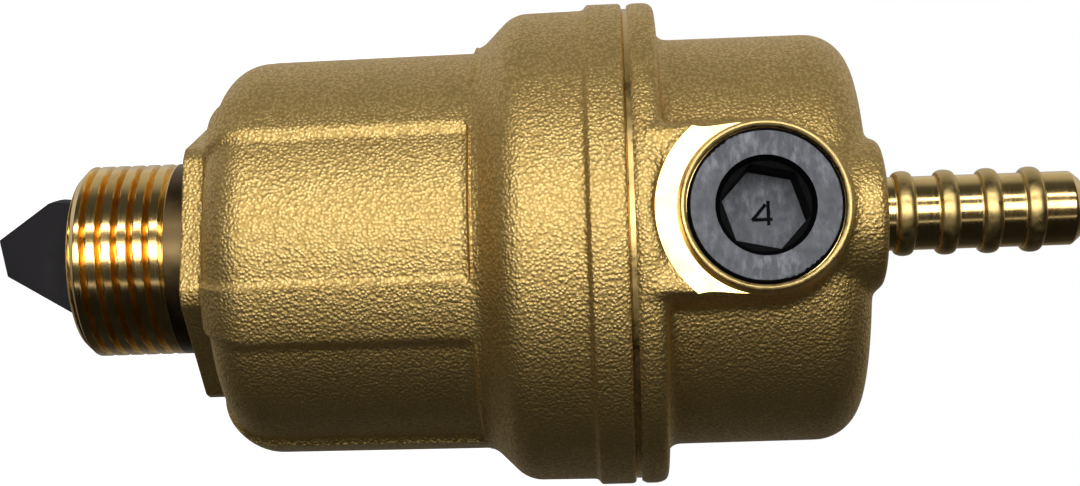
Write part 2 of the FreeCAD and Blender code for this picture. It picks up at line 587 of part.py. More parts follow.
def float_shell():
    """Blow-moulded cup with a closed socket for the tongue and a ring of feet underneath."""
    rim = FLOAT_TOP - LID
    floor = FLOAT_BOTTOM + FLOAT_WALL
    outer = turned([(0, FLOAT_BOTTOM), (FLOAT_R, FLOAT_BOTTOM, FLOAT_ROUND), (FLOAT_R, rim), (0, rim)])
    inner = turned([(0, floor), (FLOAT_R - FLOAT_WALL, floor, FLOAT_ROUND - FLOAT_WALL),
                    (FLOAT_R - FLOAT_WALL, rim + 1), (0, rim + 1)])
    boss = disc(SOCKET_R + FLOAT_WALL, FLOAT_BOTTOM, FLOAT_BOTTOM + SOCKET_DEPTH + FLOAT_WALL)
    foot_low = BODY_FLOOR + FOOT_GAP
    feet = disc(FLOAT_FOOT_R, foot_low, floor).cut(disc(FLOAT_FOOT_R - 1.5, foot_low - 1, floor + 1))
    reach = FLOAT_FOOT_R + 1
    gaps = [block(-reach, reach, -3, 3, foot_low - 1, FLOAT_BOTTOM),
            block(-3, 3, -reach, reach, foot_low - 1, FLOAT_BOTTOM)]
    socket = disc(SOCKET_R, foot_low - 1, FLOAT_BOTTOM + SOCKET_DEPTH)
    return outer.cut(inner).fuse([boss, feet.cut(gaps)]).cut(socket).removeSplitter()


def float_lid():
    rim = FLOAT_TOP - LID
    lid = disc(FLOAT_R, rim, FLOAT_TOP)
    plug = disc(FLOAT_R - FLOAT_WALL, rim - 1.5, rim).cut(disc(FLOAT_R - 2 * FLOAT_WALL - 0.4, rim - 2, rim))
    foot = block(-HOOK_HALF, HOOK_HALF, HOOK_Y - HOOK_SHEET / 2, HOOK_Y + HOOK_SHEET / 2, rim + 0.4, FLOAT_TOP)
    return lid.fuse(plug).cut(foot).removeSplitter()


def float_hook():
    """Stirrup on the float; the lever's end passes through its window."""
    y0, y1 = HOOK_Y - HOOK_SHEET / 2, HOOK_Y + HOOK_SHEET / 2
    half = LEVER_THICK / 2 + HOOK_GAP
    plate = block(-HOOK_HALF, HOOK_HALF, y0, y1, FLOAT_TOP - LID + 0.4, PIVOT_Z + half + 1.2)
    window = block(-LEVER_HALF - HOOK_GAP, LEVER_HALF + HOOK_GAP, y0 - 1, y1 + 1, PIVOT_Z - half, PIVOT_Z + half)
    return plate.cut(window)


def float_tongue():
    """Stem with four fins in the inlet bore and a flat pointed blade that drips below the thread."""
    stud = disc(SOCKET_R, BODY_FLOOR + 0.6, FLOAT_BOTTOM + SOCKET_DEPTH - 0.3)
    high = BODY_FLOOR + 0.6
    length = high - TONGUE_TOP
    fins = [block(-STEM_R, STEM_R, -STEM_FIN / 2, STEM_FIN / 2, TONGUE_TOP, high),
            block(-STEM_FIN / 2, STEM_FIN / 2, -STEM_R, STEM_R, TONGUE_TOP, high)]
    core = disc(SOCKET_R, TONGUE_TOP, TONGUE_TOP + length)
    side, wide, short_side = STEM_R + 0.15, STEM_R + TONGUE_WIDER, STEM_R * 0.94
    blade = Part.Face(outline(
        [(-side, TONGUE_TOP), (-side, TONGUE_SHOULDER + 1.6), (-wide, TONGUE_SHOULDER, 0.4),
         (-STEM_R * 0.34, TONGUE_TIP, 0.15), (STEM_R * 0.26, TONGUE_TIP + 0.76, 0.15),
         (short_side, TONGUE_SHOULDER + 1.6, 0.5), (short_side, TONGUE_TOP)]
    ))
    blade.rotate(V(), V(1, 0, 0), 90)
    blade.translate(V(0, TONGUE_HALF, 0))
    blade = blade.extrude(V(0, -2 * TONGUE_HALF, 0)).common(turned(
        [(0, TONGUE_TIP - 1), (wide, TONGUE_TIP - 1), (wide, TONGUE_SHOULDER), (side, TONGUE_SHOULDER + 1.6),
         (side, TONGUE_TOP), (0, TONGUE_TOP)]))
    return stud.fuse([core, *fins]).common(disc(STEM_R, TONGUE_TOP, FLOAT_TOP)).fuse(blade).removeSplitter()


NODES = {
    "lower_body": lower_body,
    "cover": cover,
    "cover_seal": cover_seal,
    "hose_tail": hose_tail,
    "hose_tail_seal": hose_tail_seal,
    "side_plug": side_plug,
    "side_plug_seal": side_plug_seal,
    "seat_cartridge": seat_cartridge,
    "cartridge_seal": cartridge_seal,
    "seat_nozzle": seat_nozzle,
    "lever_bracket": lever_bracket,
    "bracket_screws": bracket_screws,
    "lever_pin": lever_pin,
    "pin_clips": pin_clips,
    "valve_lever": valve_lever,
    "valve_pad": valve_pad,
    "float_shell": float_shell,
    "float_lid": float_lid,
    "float_hook": float_hook,
    "float_tongue": float_tongue,
}

os.makedirs("parts", exist_ok=True)
for name, make in NODES.items():
    make().exportStep(f"parts/{name}.step")
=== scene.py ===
import json
from math import ceil, cos, pi, radians, sin, sqrt, tan

import bmesh
import bpy
import numpy as np
from mathutils import Matrix, Vector


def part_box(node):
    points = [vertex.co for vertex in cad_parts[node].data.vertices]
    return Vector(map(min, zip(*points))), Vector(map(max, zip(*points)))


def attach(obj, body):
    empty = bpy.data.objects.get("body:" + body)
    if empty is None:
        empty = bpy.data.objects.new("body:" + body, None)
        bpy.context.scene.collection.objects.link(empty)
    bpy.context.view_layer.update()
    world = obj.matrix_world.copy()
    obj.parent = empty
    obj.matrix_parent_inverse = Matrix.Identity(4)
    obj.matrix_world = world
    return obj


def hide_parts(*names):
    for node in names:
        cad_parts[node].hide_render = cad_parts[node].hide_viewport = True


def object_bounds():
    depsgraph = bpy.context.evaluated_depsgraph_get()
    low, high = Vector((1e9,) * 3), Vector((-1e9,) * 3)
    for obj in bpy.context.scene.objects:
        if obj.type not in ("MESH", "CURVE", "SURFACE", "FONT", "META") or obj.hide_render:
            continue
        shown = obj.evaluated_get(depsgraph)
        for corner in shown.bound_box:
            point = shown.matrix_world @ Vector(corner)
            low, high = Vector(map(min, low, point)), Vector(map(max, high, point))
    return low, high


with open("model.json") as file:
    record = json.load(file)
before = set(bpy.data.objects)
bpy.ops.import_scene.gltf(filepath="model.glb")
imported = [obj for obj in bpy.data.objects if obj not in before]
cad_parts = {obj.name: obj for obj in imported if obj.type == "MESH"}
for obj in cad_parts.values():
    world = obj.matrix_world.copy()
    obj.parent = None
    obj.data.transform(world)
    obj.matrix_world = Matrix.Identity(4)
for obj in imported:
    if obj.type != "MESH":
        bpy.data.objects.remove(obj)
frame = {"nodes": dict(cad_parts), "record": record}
cad_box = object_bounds()
MM = 0.001

# -----------------------------------------------------------------------------------------------------
# Lower body. One brass casting, shot-blasted all over, with the float chamber inside. Six raised strips
# run from the hexagon to the neck. Thread, bores and flange top are turned bright after casting, and the
# thread screws the whole vent into the pipework.

low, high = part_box("lower_body")
body_top = high.z / MM
thread_end = low.z / MM
flange_r = high.x / MM
THREAD_R, THREAD_PITCH, THREAD_DEPTH = 8.331, 1.337, 0.856
THREAD_TOP, THREAD_CHAMFER, THREAD_ROW = -2.1, 0.85, 0.075
INLET_R, CHAMBER_R, CHAMBER_FLOOR = 5.8, 14.4, 4.4
HEX_FLATS, HEX_HEIGHT, HEX_TURN = 22.0, 1.9, radians(-7.6)
HEX_CORNER_R = 12.35
BARREL_R, BARREL_DRAFT, SHOULDER_ROUND = 17.12, 0.2, 4.5
STRIP_COUNT, STRIP_ANGLE, STRIP_HEIGHT, STRIP_SOFT = 6, radians(17.0), 0.42, 0.24
STRIP_TURN = HEX_TURN + radians(1.6)
PANEL_TOP, NECK_TOP, WIDE_R, FLANGE_STEP = 24.3, 27.5, 20.15, 33.4
COVER_THREAD_R, SEAL_BORE_R, SEAL_BORE_DEPTH, SPIGOT_LENGTH = 18.0, 18.5, 3.0, 8.4
BODY_COLUMNS = 288


def rounded_path(points, spacing, arc_spacing=0.22):
    """Dense (radius, z) path through corners given as (radius, z) or (radius, z, rounding)."""
    corners = [Vector(p[:2]) for p in points]
    pieces = []
    for i, p in enumerate(points):
        here = corners[i]
        rounding = p[2] if len(p) > 2 else 0
        if not rounding or i in (0, len(points) - 1):
            pieces.append([here])
            continue
        u, w = (corners[i - 1] - here).normalized(), (corners[i + 1] - here).normalized()
        half = u.angle(w) / 2
        centre = here + (u + w).normalized() * rounding / sin(half)
        start, end = here + u * rounding / tan(half), here + w * rounding / tan(half)
        sweep = pi - 2 * half
        steps = max(3, ceil(sweep * rounding / arc_spacing))
        a, b = start - centre, end - centre
        pieces.append([centre + (a * sin(sweep * (1 - t / steps)) + b * sin(sweep * t / steps)) / sin(sweep)
                       for t in range(steps + 1)])
    path = list(pieces[0])
    for piece in pieces[1:]:
        gap = (piece[0] - path[-1]).length
        steps = max(1, ceil(gap / spacing))
        path += [path[-1].lerp(piece[0], t / steps) for t in range(1, steps)] + piece
    return [(p.x, p.y) for p in path]


def revolve(name, path_at, columns, centre=(0, 0), skin_rows=None):
    """Mesh turned about Z. path_at(angle) gives the (radius, z) rows of one column, in millimetres."""
    rows = []
    for c in range(columns):
        angle = 2 * pi * c / columns
        path = np.array(path_at(angle)) * MM
        x, y = centre[0] * MM + path[:, 0] * cos(angle), centre[1] * MM + path[:, 0] * sin(angle)
        rows.append(np.stack([x, y, path[:, 1]], 1))
    count = len(rows[0])
    faces = []
    for c in range(columns):
        here, beyond = c * count, (c + 1) % columns * count
        for r in range(count):
            after = (r + 1) % count
            faces.append((here + r, beyond + r, beyond + after, here + after))
    mesh = bpy.data.meshes.new(name)
    mesh.from_pydata(np.concatenate(rows).tolist(), [], faces)
    if skin_rows:
        skin = mesh.attributes.new("skin", "FLOAT", "POINT")
        row = np.arange(count)
        mask = (row >= skin_rows[0]) & (row < skin_rows[1])
        skin.data.foreach_set("value", np.tile(mask, columns).astype(np.float32))
    return finish_mesh(mesh)


def finish_mesh(mesh, sharp=40.0):
    """Merges doubles, turns faces outwards and shades smooth between sharp edges and edges of a finish."""
    bm = bmesh.new()
    bm.from_mesh(mesh)
    bmesh.ops.remove_doubles(bm, verts=bm.verts, dist=1e-7)
    bmesh.ops.dissolve_degenerate(bm, edges=bm.edges, dist=1e-8)
    bmesh.ops.recalc_face_normals(bm, faces=bm.faces)
    bm.to_mesh(mesh)
    bm.free()
    mesh.polygons.foreach_set("use_smooth", [True] * len(mesh.polygons))
    mesh.set_sharp_from_angle(angle=radians(sharp))
    bm = bmesh.new()
    bm.from_mesh(mesh)
    for edge in bm.edges:
        if len({face.material_index for face in edge.link_faces}) > 1:
            edge.smooth = False
    bm.to_mesh(mesh)
    bm.free()
    return mesh


def coat(mesh, materials):
    """Gives a mesh these materials as its only ones."""
    mesh.materials.clear()
    for made in materials:
        mesh.materials.append(made)


def show(name, mesh, materials):
    """Links a mesh as an object at the origin with its materials."""
    piece = bpy.data.objects.new(name, mesh)
    bpy.context.scene.collection.objects.link(piece)
    coat(mesh, materials)
    return piece


def apply_modifiers(piece):
    """Keeps what a piece's modifiers make of it as its plain mesh."""
    graph = bpy.context.evaluated_depsgraph_get()
    mesh = bpy.data.meshes.new_from_object(piece.evaluated_get(graph), preserve_all_data_layers=True,
                                           depsgraph=graph)
    piece.modifiers.clear()
    piece.data = mesh


def put(tree, kind, values=(), **settings):
    """Adds a node to a tree. values are numbers or output sockets, in input order or by input name."""
    made = tree.nodes.new(kind)
    for key, value in settings.items():
        setattr(made, key, value)
    for key, value in values.items() if isinstance(values, dict) else enumerate(values):
        if isinstance(value, bpy.types.NodeSocket):
            tree.links.new(value, made.inputs[key])
        elif value is not None:
            made.inputs[key].default_value = value
    return made


def calc(tree, operation, *values):
    return put(tree, "ShaderNodeMath", values, operation=operation).outputs[0]


def ease(tree, value, start, end, bottom=0.0, top=1.0, kind="SMOOTHSTEP"):
    """Eased step of a value from bottom at start to top at end."""
    return put(tree, "ShaderNodeMapRange", [value, start, end, bottom, top],
               interpolation_type=kind).outputs[0]


def shape_tree(name, inputs):
    """Geometry node group for a shape, with these inputs and a material; returns it with its inputs."""
    tree = bpy.data.node_groups.new(name, "GeometryNodeTree")
    tree.interface.new_socket("Geometry", in_out="INPUT", socket_type="NodeSocketGeometry")
    tree.interface.new_socket("Geometry", in_out="OUTPUT", socket_type="NodeSocketGeometry")
    for label, kind in {**inputs, "Material": "NodeSocketMaterial"}.items():
        tree.interface.new_socket(label, in_out="INPUT", socket_type=kind)
    source = tree.nodes.new("NodeGroupInput").outputs
    return tree, {s.name: s for s in source if s.name}


def end_shape_tree(tree, socket, geometry):
    """Ends a shape tree: its shape is made real, takes the material and goes out."""
    plain = put(tree, "GeometryNodeRealizeInstances", {"Geometry": geometry}).outputs[0]
    coated = put(tree, "GeometryNodeSetMaterial", {"Geometry": plain, "Material": socket["Material"]})
    put(tree, "NodeGroupOutput", [coated.outputs[0]])


def shaped(piece, tree, values):
    """Runs a shape tree on a piece with its inputs set by name, and keeps the result as a plain mesh."""
    modifier = piece.modifiers.new(tree.name, "NODES")
    modifier.node_group = tree
    for item in tree.interface.items_tree:
        if item.in_out == "INPUT" and item.name in values:
            modifier[item.identifier] = values[item.name]
    piece.update_tag()
    apply_modifiers(piece)


def shader_group(name, inputs, outputs):
    """Shader node group with named number inputs and outputs given as (name, socket type)."""
    tree = bpy.data.node_groups.new(name, "ShaderNodeTree")
    for label, kind in inputs:
        tree.interface.new_socket(label, in_out="INPUT", socket_type=kind)
    for label, kind in outputs:
        tree.interface.new_socket(label, in_out="OUTPUT", socket_type=kind)
    return tree, {s.name: s for s in tree.nodes.new("NodeGroupInput").outputs if s.name}


def material(name, colour, **sockets):
    """New material with a Principled shader; returns it, its tree and the shader."""
    made = bpy.data.materials.new(name)
    made.use_nodes = True
    made.diffuse_color = (*colour, 1.0)
    tree = made.node_tree
    shader = tree.nodes["Principled BSDF"]
    shader.inputs["Base Color"].default_value = (*colour, 1.0)
    for key, value in sockets.items():
        shader.inputs[key.replace("_", " ")].default_value = value
    return made, tree, shader


def blend_colours(tree, factor, first, second):
    mixed = put(tree, "ShaderNodeMix", data_type="RGBA")
    for name, value in (("Factor_Float", factor), ("A_Color", first), ("B_Color", second)):
        socket = next(s for s in mixed.inputs if s.identifier == name)
        if isinstance(value, bpy.types.NodeSocket):
            tree.links.new(value, socket)
        else:
            socket.default_value = value if name == "Factor_Float" else (*value, 1.0)
    return next(s for s in mixed.outputs if s.identifier == "Result_Color")


def on_piece(tree, **mapping):
    """Object coordinates, stretched or turned where a Scale or a Rotation is given."""
    place = put(tree, "ShaderNodeTexCoord").outputs["Object"]
    if mapping:
        place = put(tree, "ShaderNodeMapping", {"Vector": place, **mapping}).outputs["Vector"]
    return place


def noise(tree, vector, scale, detail, roughness=0.5):
    return put(tree, "ShaderNodeTexNoise",
               {"Vector": vector, "Scale": scale, "Detail": detail, "Roughness": roughness}).outputs["Fac"]


def relief(tree, shader, height, strength, depth):
    """Fine relief on a shader from a height pattern."""
    bump = put(tree, "ShaderNodeBump", {"Strength": strength, "Distance": depth, "Height": height})
    tree.links.new(bump.outputs["Normal"], shader.inputs["Normal"])


# Blasted skin: close-set pits and bright peaks of the size of the blasting shot
grain_group, grain_in = shader_group(
    "blasted_skin", [("Vector", "NodeSocketVector"), ("Grain", "NodeSocketFloat")],
    [("Height", "NodeSocketFloat"), ("Peak", "NodeSocketFloat"), ("Patch", "NodeSocketFloat")])
grain_scale = calc(grain_group, "DIVIDE", 1.0, grain_in["Grain"])
cells = put(grain_group, "ShaderNodeTexVoronoi",
            {"Vector": grain_in["Vector"], "Scale": grain_scale, "Randomness": 1.0}).outputs["Distance"]
fuzz_scale = calc(grain_group, "MULTIPLY", grain_scale, 0.9)
fuzz = noise(grain_group, grain_in["Vector"], fuzz_scale, 5.0, 0.75)
cell_height = calc(grain_group, "SUBTRACT", 0.9, cells)
grain_height = calc(grain_group, "ADD", cell_height, calc(grain_group, "MULTIPLY", fuzz, 0.5))
grain_peak = ease(grain_group, grain_height, 0.45, 1.0)
patch_scale = calc(grain_group, "MULTIPLY", grain_scale, 0.09)
patches = noise(grain_group, grain_in["Vector"], patch_scale, 3.0, 0.55)
put(grain_group, "NodeGroupOutput", {"Height": grain_height, "Peak": grain_peak, "Patch": patches})

# Mottling: a soft pattern that runs from one colour to another and moves the roughness with it
mottle_group, mottle_in = shader_group(
    "mottling",
    [("Vector", "NodeSocketVector"), ("Scale", "NodeSocketFloat"), ("Detail", "NodeSocketFloat"),
     ("Dark", "NodeSocketColor"), ("Light", "NodeSocketColor"),
     ("Smoothest", "NodeSocketFloat"), ("Roughest", "NodeSocketFloat")],
    [("Pattern", "NodeSocketFloat"), ("Colour", "NodeSocketColor"), ("Roughness", "NodeSocketFloat")])
pattern = noise(mottle_group, mottle_in["Vector"], mottle_in["Scale"], mottle_in["Detail"])
mottled_colour = blend_colours(mottle_group, pattern, mottle_in["Dark"], mottle_in["Light"])
mottled_roughness = ease(mottle_group, pattern, 0.3, 0.7, mottle_in["Smoothest"], mottle_in["Roughest"],
                         "LINEAR")
put(mottle_group, "NodeGroupOutput",
    {"Pattern": pattern, "Colour": mottled_colour, "Roughness": mottled_roughness})


def mottle(tree, shader, vector, scale, roughness, colours=None, detail=4.0):
    """Mottles a shader's roughness and, where two colours are given, its colour. Returns the pattern."""
    dark, light = colours or ((0.0, 0.0, 0.0), (1.0, 1.0, 1.0))
    mottling = put(tree, "ShaderNodeGroup", node_tree=mottle_group, values={
        "Vector": vector, "Scale": scale, "Detail": detail, "Dark": (*dark, 1.0), "Light": (*light, 1.0),
        "Smoothest": roughness[0], "Roughest": roughness[1]})
    tree.links.new(mottling.outputs["Roughness"], shader.inputs["Roughness"])
    if colours:
        tree.links.new(mottling.outputs["Colour"], shader.inputs["Base Color"])
    return mottling.outputs["Pattern"]


CAST_GRAIN = 0.00027
cast_brass, tree, shader = material("cast_brass", (0.62, 0.43, 0.15), Metallic=1.0)
skin = put(tree, "ShaderNodeGroup", {"Vector": on_piece(tree), "Grain": CAST_GRAIN}, node_tree=grain_group)
peak = skin.outputs["Peak"]
# The colour runs from dark in the grain's pits to light on its peaks: painted shade in the pits.
tone = blend_colours(tree, peak, (0.58, 0.39, 0.125), (0.90, 0.645, 0.25))
patch = ease(tree, skin.outputs["Patch"], 0.35, 0.7)
tone = blend_colours(tree, calc(tree, "MULTIPLY", patch, 0.25), tone, (0.52, 0.36, 0.13))
tree.links.new(tone, shader.inputs["Base Color"])
tree.links.new(ease(tree, peak, 0.0, 1.0, 0.50, 0.38, "LINEAR"), shader.inputs["Roughness"])
relief(tree, shader, skin.outputs["Height"], 1.0, 0.000072)

# Turned brass: bright, with the fine lines that the tool leaves round the axis, and a little stained
turned_brass, tree, shader = material("turned_brass", (0.93, 0.72, 0.36), Metallic=1.0)
lines = mottle(tree, shader, on_piece(tree, Scale=(1.0, 1.0, 60.0)), 220.0, (0.12, 0.20), detail=3.0)
stain = ease(tree, noise(tree, on_piece(tree), 320.0, 4.0), 0.4, 0.75)
tone = blend_colours(tree, stain, (0.92, 0.66, 0.27), (0.74, 0.48, 0.16))
tree.links.new(tone, shader.inputs["Base Color"])
relief(tree, shader, lines, 0.25, 0.000008)

# Worn brass: machined, then dulled by handling
worn_brass, tree, shader = material("worn_brass", (0.68, 0.48, 0.18), Metallic=1.0)
rub = mottle(tree, shader, on_piece(tree), 1400.0, (0.24, 0.42), ((0.50, 0.34, 0.11), (0.86, 0.64, 0.27)))
relief(tree, shader, rub, 0.4, 0.00003)

# Shank under the hexagon: the same brass, painted dark brown as painted shade under the hexagon
shank_painted_shade, tree, shader = material("shank_painted_shade", (0.13, 0.085, 0.04), Metallic=1.0)
mottle(tree, shader, on_piece(tree), 420.0, (0.25, 0.45), ((0.07, 0.045, 0.022), (0.20, 0.135, 0.06)))


def hexagon_radius(angle):
    """Radius of the hexagon's side at an angle, with its corners turned off."""
    off = (angle + pi / 2 - HEX_TURN + pi / 6) % (pi / 3) - pi / 6
    return min(HEX_FLATS / 2 / cos(off), HEX_CORNER_R)


seal_floor = body_top - SEAL_BORE_DEPTH
spigot_end = body_top - SPIGOT_LENGTH
barrel_top_r = BARREL_R + BARREL_DRAFT
shank = rounded_path([(THREAD_R, THREAD_TOP), (THREAD_R, 0, 0.15), (THREAD_R + 0.6, 0)], 1.0)
thread_rows = rounded_path(
    [(INLET_R + 0.9, thread_end), (THREAD_R - THREAD_CHAMFER, thread_end, 0.1),
     (THREAD_R, thread_end + THREAD_CHAMFER, 0.15), (THREAD_R, THREAD_TOP)], THREAD_ROW)
shoulder_to_flange = rounded_path(
    [(BARREL_R - SHOULDER_ROUND - 0.2, HEX_HEIGHT), (BARREL_R, HEX_HEIGHT, SHOULDER_ROUND),
     (barrel_top_r, PANEL_TOP - 1.2), (barrel_top_r, PANEL_TOP + 0.3)], 0.45)
neck = rounded_path(
    [(barrel_top_r, PANEL_TOP + 0.35), (barrel_top_r, NECK_TOP - (WIDE_R - barrel_top_r), 2.0),
     (WIDE_R, NECK_TOP, 3.0), (WIDE_R + 0.08, FLANGE_STEP, 0.5), (flange_r, FLANGE_STEP + 0.35, 0.3),
     (flange_r, body_top, 0.35), (SEAL_BORE_R + 0.3, body_top)], 0.6, 0.16)
inside = rounded_path(
    [(SEAL_BORE_R, body_top), (SEAL_BORE_R, seal_floor + 0.5), (COVER_THREAD_R, seal_floor),
     (COVER_THREAD_R, spigot_end - 0.4), (CHAMBER_R, spigot_end - 0.4), (CHAMBER_R, CHAMBER_FLOOR, 3.2),
     (INLET_R, CHAMBER_FLOOR, 0.5), (INLET_R, thread_end + 0.6), (INLET_R + 0.7, thread_end)], 3.0, 0.8)


def seat_rows(side):
    """Rows from the shank out round the hexagon, whose side is at this radius, with its edges eased."""
    return [(THREAD_R + 0.9, 0.0), (side - 0.20, 0.0), (side - 0.08, 0.03), (side - 0.02, 0.10),
            (side, 0.22), (side, HEX_HEIGHT - 0.4), (side + 0.05, HEX_HEIGHT - 0.18),
            (side + 0.16, HEX_HEIGHT - 0.04)]


def body_column(angle):
    """Whole outline at one angle about the axis. Only the hexagon's rows change with the angle."""
    return shank[1:] + seat_rows(hexagon_radius(angle)) + shoulder_to_flange + neck + inside + thread_rows


# The strips stand proud because the panels between them are pressed in
panels, socket = shape_tree("panels_between_strips", dict.fromkeys(
    ("Strips", "Strip Angle", "Depth", "Soft Angle", "Top", "Soft", "Turn"), "NodeSocketFloat"))
spot = put(panels, "ShaderNodeSeparateXYZ", [put(panels, "GeometryNodeInputPosition").outputs[0]]).outputs
angle = calc(panels, "SUBTRACT", calc(panels, "ARCTAN2", spot["Y"], spot["X"]), socket["Turn"])
half_pitch = calc(panels, "DIVIDE", pi, socket["Strips"])
from_strip = calc(panels, "PINGPONG", calc(panels, "ADD", angle, 4 * pi), half_pitch)
half_strip = calc(panels, "DIVIDE", socket["Strip Angle"], 2.0)
across = ease(panels, from_strip, calc(panels, "SUBTRACT", half_strip, socket["Soft Angle"]),
              calc(panels, "ADD", half_strip, socket["Soft Angle"]))
along = ease(panels, spot["Z"], socket["Top"], calc(panels, "SUBTRACT", socket["Top"], socket["Soft"]))
outside = put(panels, "GeometryNodeInputNamedAttribute", {"Name": "skin"}, data_type="FLOAT").outputs[0]
sink = calc(panels, "MULTIPLY", calc(panels, "MULTIPLY", across, along),
            calc(panels, "MULTIPLY", outside, calc(panels, "MULTIPLY", socket["Depth"], -1.0)))
normal = put(panels, "GeometryNodeInputNormal").outputs[0]
move = put(panels, "ShaderNodeVectorMath", {0: normal, "Scale": sink}, operation="SCALE").outputs[0]
moved = put(panels, "GeometryNodeSetPosition", {"Geometry": socket["Geometry"], "Offset": move})
end_shape_tree(panels, socket, moved.outputs[0])

# A right-handed groove down to the root, with rounded crests, that runs out at the plain shank
thread, socket = shape_tree("screw_thread", dict.fromkeys(
    ("Radius", "Pitch", "Depth", "Top"), "NodeSocketFloat"))
place = put(thread, "GeometryNodeInputPosition").outputs[0]
spot = put(thread, "ShaderNodeSeparateXYZ", [place]).outputs
turns = calc(thread, "DIVIDE", calc(thread, "ARCTAN2", spot["Y"], spot["X"]), 2 * pi)
rise = calc(thread, "DIVIDE", spot["Z"], socket["Pitch"])
phase = calc(thread, "FRACT", calc(thread, "SUBTRACT", rise, turns))
from_root = calc(thread, "ABSOLUTE", calc(thread, "MULTIPLY", calc(thread, "SUBTRACT", phase, 0.5), 2.0))
groove = ease(thread, from_root, 0.02, 0.46, 1.0, 0.0)
full_depth = calc(thread, "SUBTRACT", socket["Top"], calc(thread, "MULTIPLY", socket["Pitch"], 0.6))
run_out = ease(thread, spot["Z"], socket["Top"], full_depth)
depth = calc(thread, "MULTIPLY", calc(thread, "MULTIPLY", groove, run_out), socket["Depth"])
squares = [calc(thread, "MULTIPLY", spot[axis], spot[axis]) for axis in "XY"]
radius = calc(thread, "SQRT", calc(thread, "ADD", *squares))
wanted = calc(thread, "MINIMUM", radius, calc(thread, "SUBTRACT", socket["Radius"], depth))
below = calc(thread, "LESS_THAN", spot["Z"], socket["Top"])
change = calc(thread, "SUBTRACT", calc(thread, "DIVIDE", wanted, radius), 1.0)
ratio = calc(thread, "ADD", 1.0, calc(thread, "MULTIPLY", below, change))
shrink = put(thread, "ShaderNodeCombineXYZ", [ratio, ratio, 1.0]).outputs[0]
narrow = put(thread, "ShaderNodeVectorMath", [place, shrink], operation="MULTIPLY").outputs[0]
cut_down = put(thread, "GeometryNodeSetPosition", {"Geometry": socket["Geometry"], "Position": narrow})
end_shape_tree(thread, socket, cut_down.outputs[0])

body_finishes = [cast_brass, turned_brass, shank_painted_shade]
first_row = len(shank[1:] + seat_rows(HEX_CORNER_R))
skin_rows = (first_row, first_row + len(shoulder_to_flange) + len(neck))
body = show("body_casting", revolve("body_casting", body_column, BODY_COLUMNS, skin_rows=skin_rows),
            body_finishes)
shaped(body, panels, {
    "Strips": float(STRIP_COUNT), "Strip Angle": STRIP_ANGLE, "Depth": STRIP_HEIGHT * MM,
    "Soft Angle": STRIP_SOFT / BARREL_R, "Top": (PANEL_TOP + 0.3) * MM, "Soft": 0.9 * MM,
    "Turn": STRIP_TURN - pi / 2 + pi / 6, "Material": cast_brass})
shaped(body, thread, {"Radius": THREAD_R * MM, "Pitch": THREAD_PITCH * MM, "Depth": THREAD_DEPTH * MM,
                      "Top": THREAD_TOP * MM, "Material": cast_brass})
coat(body.data, body_finishes)
for face in body.data.polygons:
    centre = face.center / MM
    reach = sqrt(centre.x ** 2 + centre.y ** 2)
    bored = centre.z > spigot_end - 0.5 and reach < SEAL_BORE_R + 0.2 or reach < INLET_R + 0.2
    turned = bored or centre.z < 0.02 or centre.z > body_top - 0.1
    # The plain shank under the hexagon takes the dark brass, which is painted shade.
    plain_shank = THREAD_TOP - 0.1 < centre.z < -0.05 and reach > THREAD_R - 0.4
    finish = shank_painted_shade if plain_shank else turned_brass if turned else cast_brass
    face.material_index = body_finishes.index(finish)
finish_mesh(body.data)
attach(body, "casing")
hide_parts("lower_body")

# -----------------------------------------------------------------------------------------------------
# Cover. A second brass casting, screwed into the body: flange, round cap, side boss for the plug and a
# round boss for the hose tail. The cast skin is a soft remesh of the plain shape; the machined faces are
# then cut into it with sharp edges.

COVER_VOXEL = 0.00030
JOINT_GAP, JOINT_DEPTH = 0.45, 0.45
PLUG_Z, BOSS_FACE, SPOT_R, RIM_R, RIM_HEIGHT, PLUG_R = 47.05, 19.7, 8.4, 6.7, 1.1, 6.0
KEY_DEPTH = 4.6
SPOT_FACE = BOSS_FACE - 0.1
SAW_REACH, SAW_BOTTOM = 30, 20
CUTTER_LENGTH, CUTTER_COLUMNS = 4, 128
SPIGOT_BORE_R, SPIGOT_LIP_R, SPIGOT_COLUMNS, RIM_COLUMNS = 15.25, 17.0, 192, 160
cover_low = body_top + JOINT_GAP


def cad_copy(node):
    """Merged copy of a CAD node's mesh."""
    mesh = frame["nodes"][node].data.copy()
    bm = bmesh.new()
    bm.from_mesh(mesh)
    bmesh.ops.remove_doubles(bm, verts=bm.verts, dist=2e-6)
    bm.to_mesh(mesh)
    bm.free()
    return mesh


def cut(piece, tool):
    """Cuts a closed mesh out of a piece, like a machining cut."""
    helper = bpy.data.objects.new("tool", tool)
    bpy.context.scene.collection.objects.link(helper)
    modifier = piece.modifiers.new("cut", "BOOLEAN")
    modifier.object, modifier.operation, modifier.solver = helper, "DIFFERENCE", "EXACT"
    apply_modifiers(piece)
    bpy.data.objects.remove(helper)


def drum(radius, inner, outer):
    """Closed cylinder along -Y between two distances from the main axis, centred on the plug."""
    bm = bmesh.new()
    bmesh.ops.create_cone(bm, cap_ends=True, segments=CUTTER_COLUMNS, radius1=radius * MM,
                          radius2=radius * MM, depth=(outer - inner) * MM)
    middle = Matrix.Translation((0, -(inner + outer) / 2 * MM, PLUG_Z * MM))
    bmesh.ops.transform(bm, matrix=middle @ Matrix.Rotation(pi / 2, 4, "X"), verts=bm.verts)
    mesh = bpy.data.meshes.new("drum")
    bm.to_mesh(mesh)
    bm.free()
    return mesh


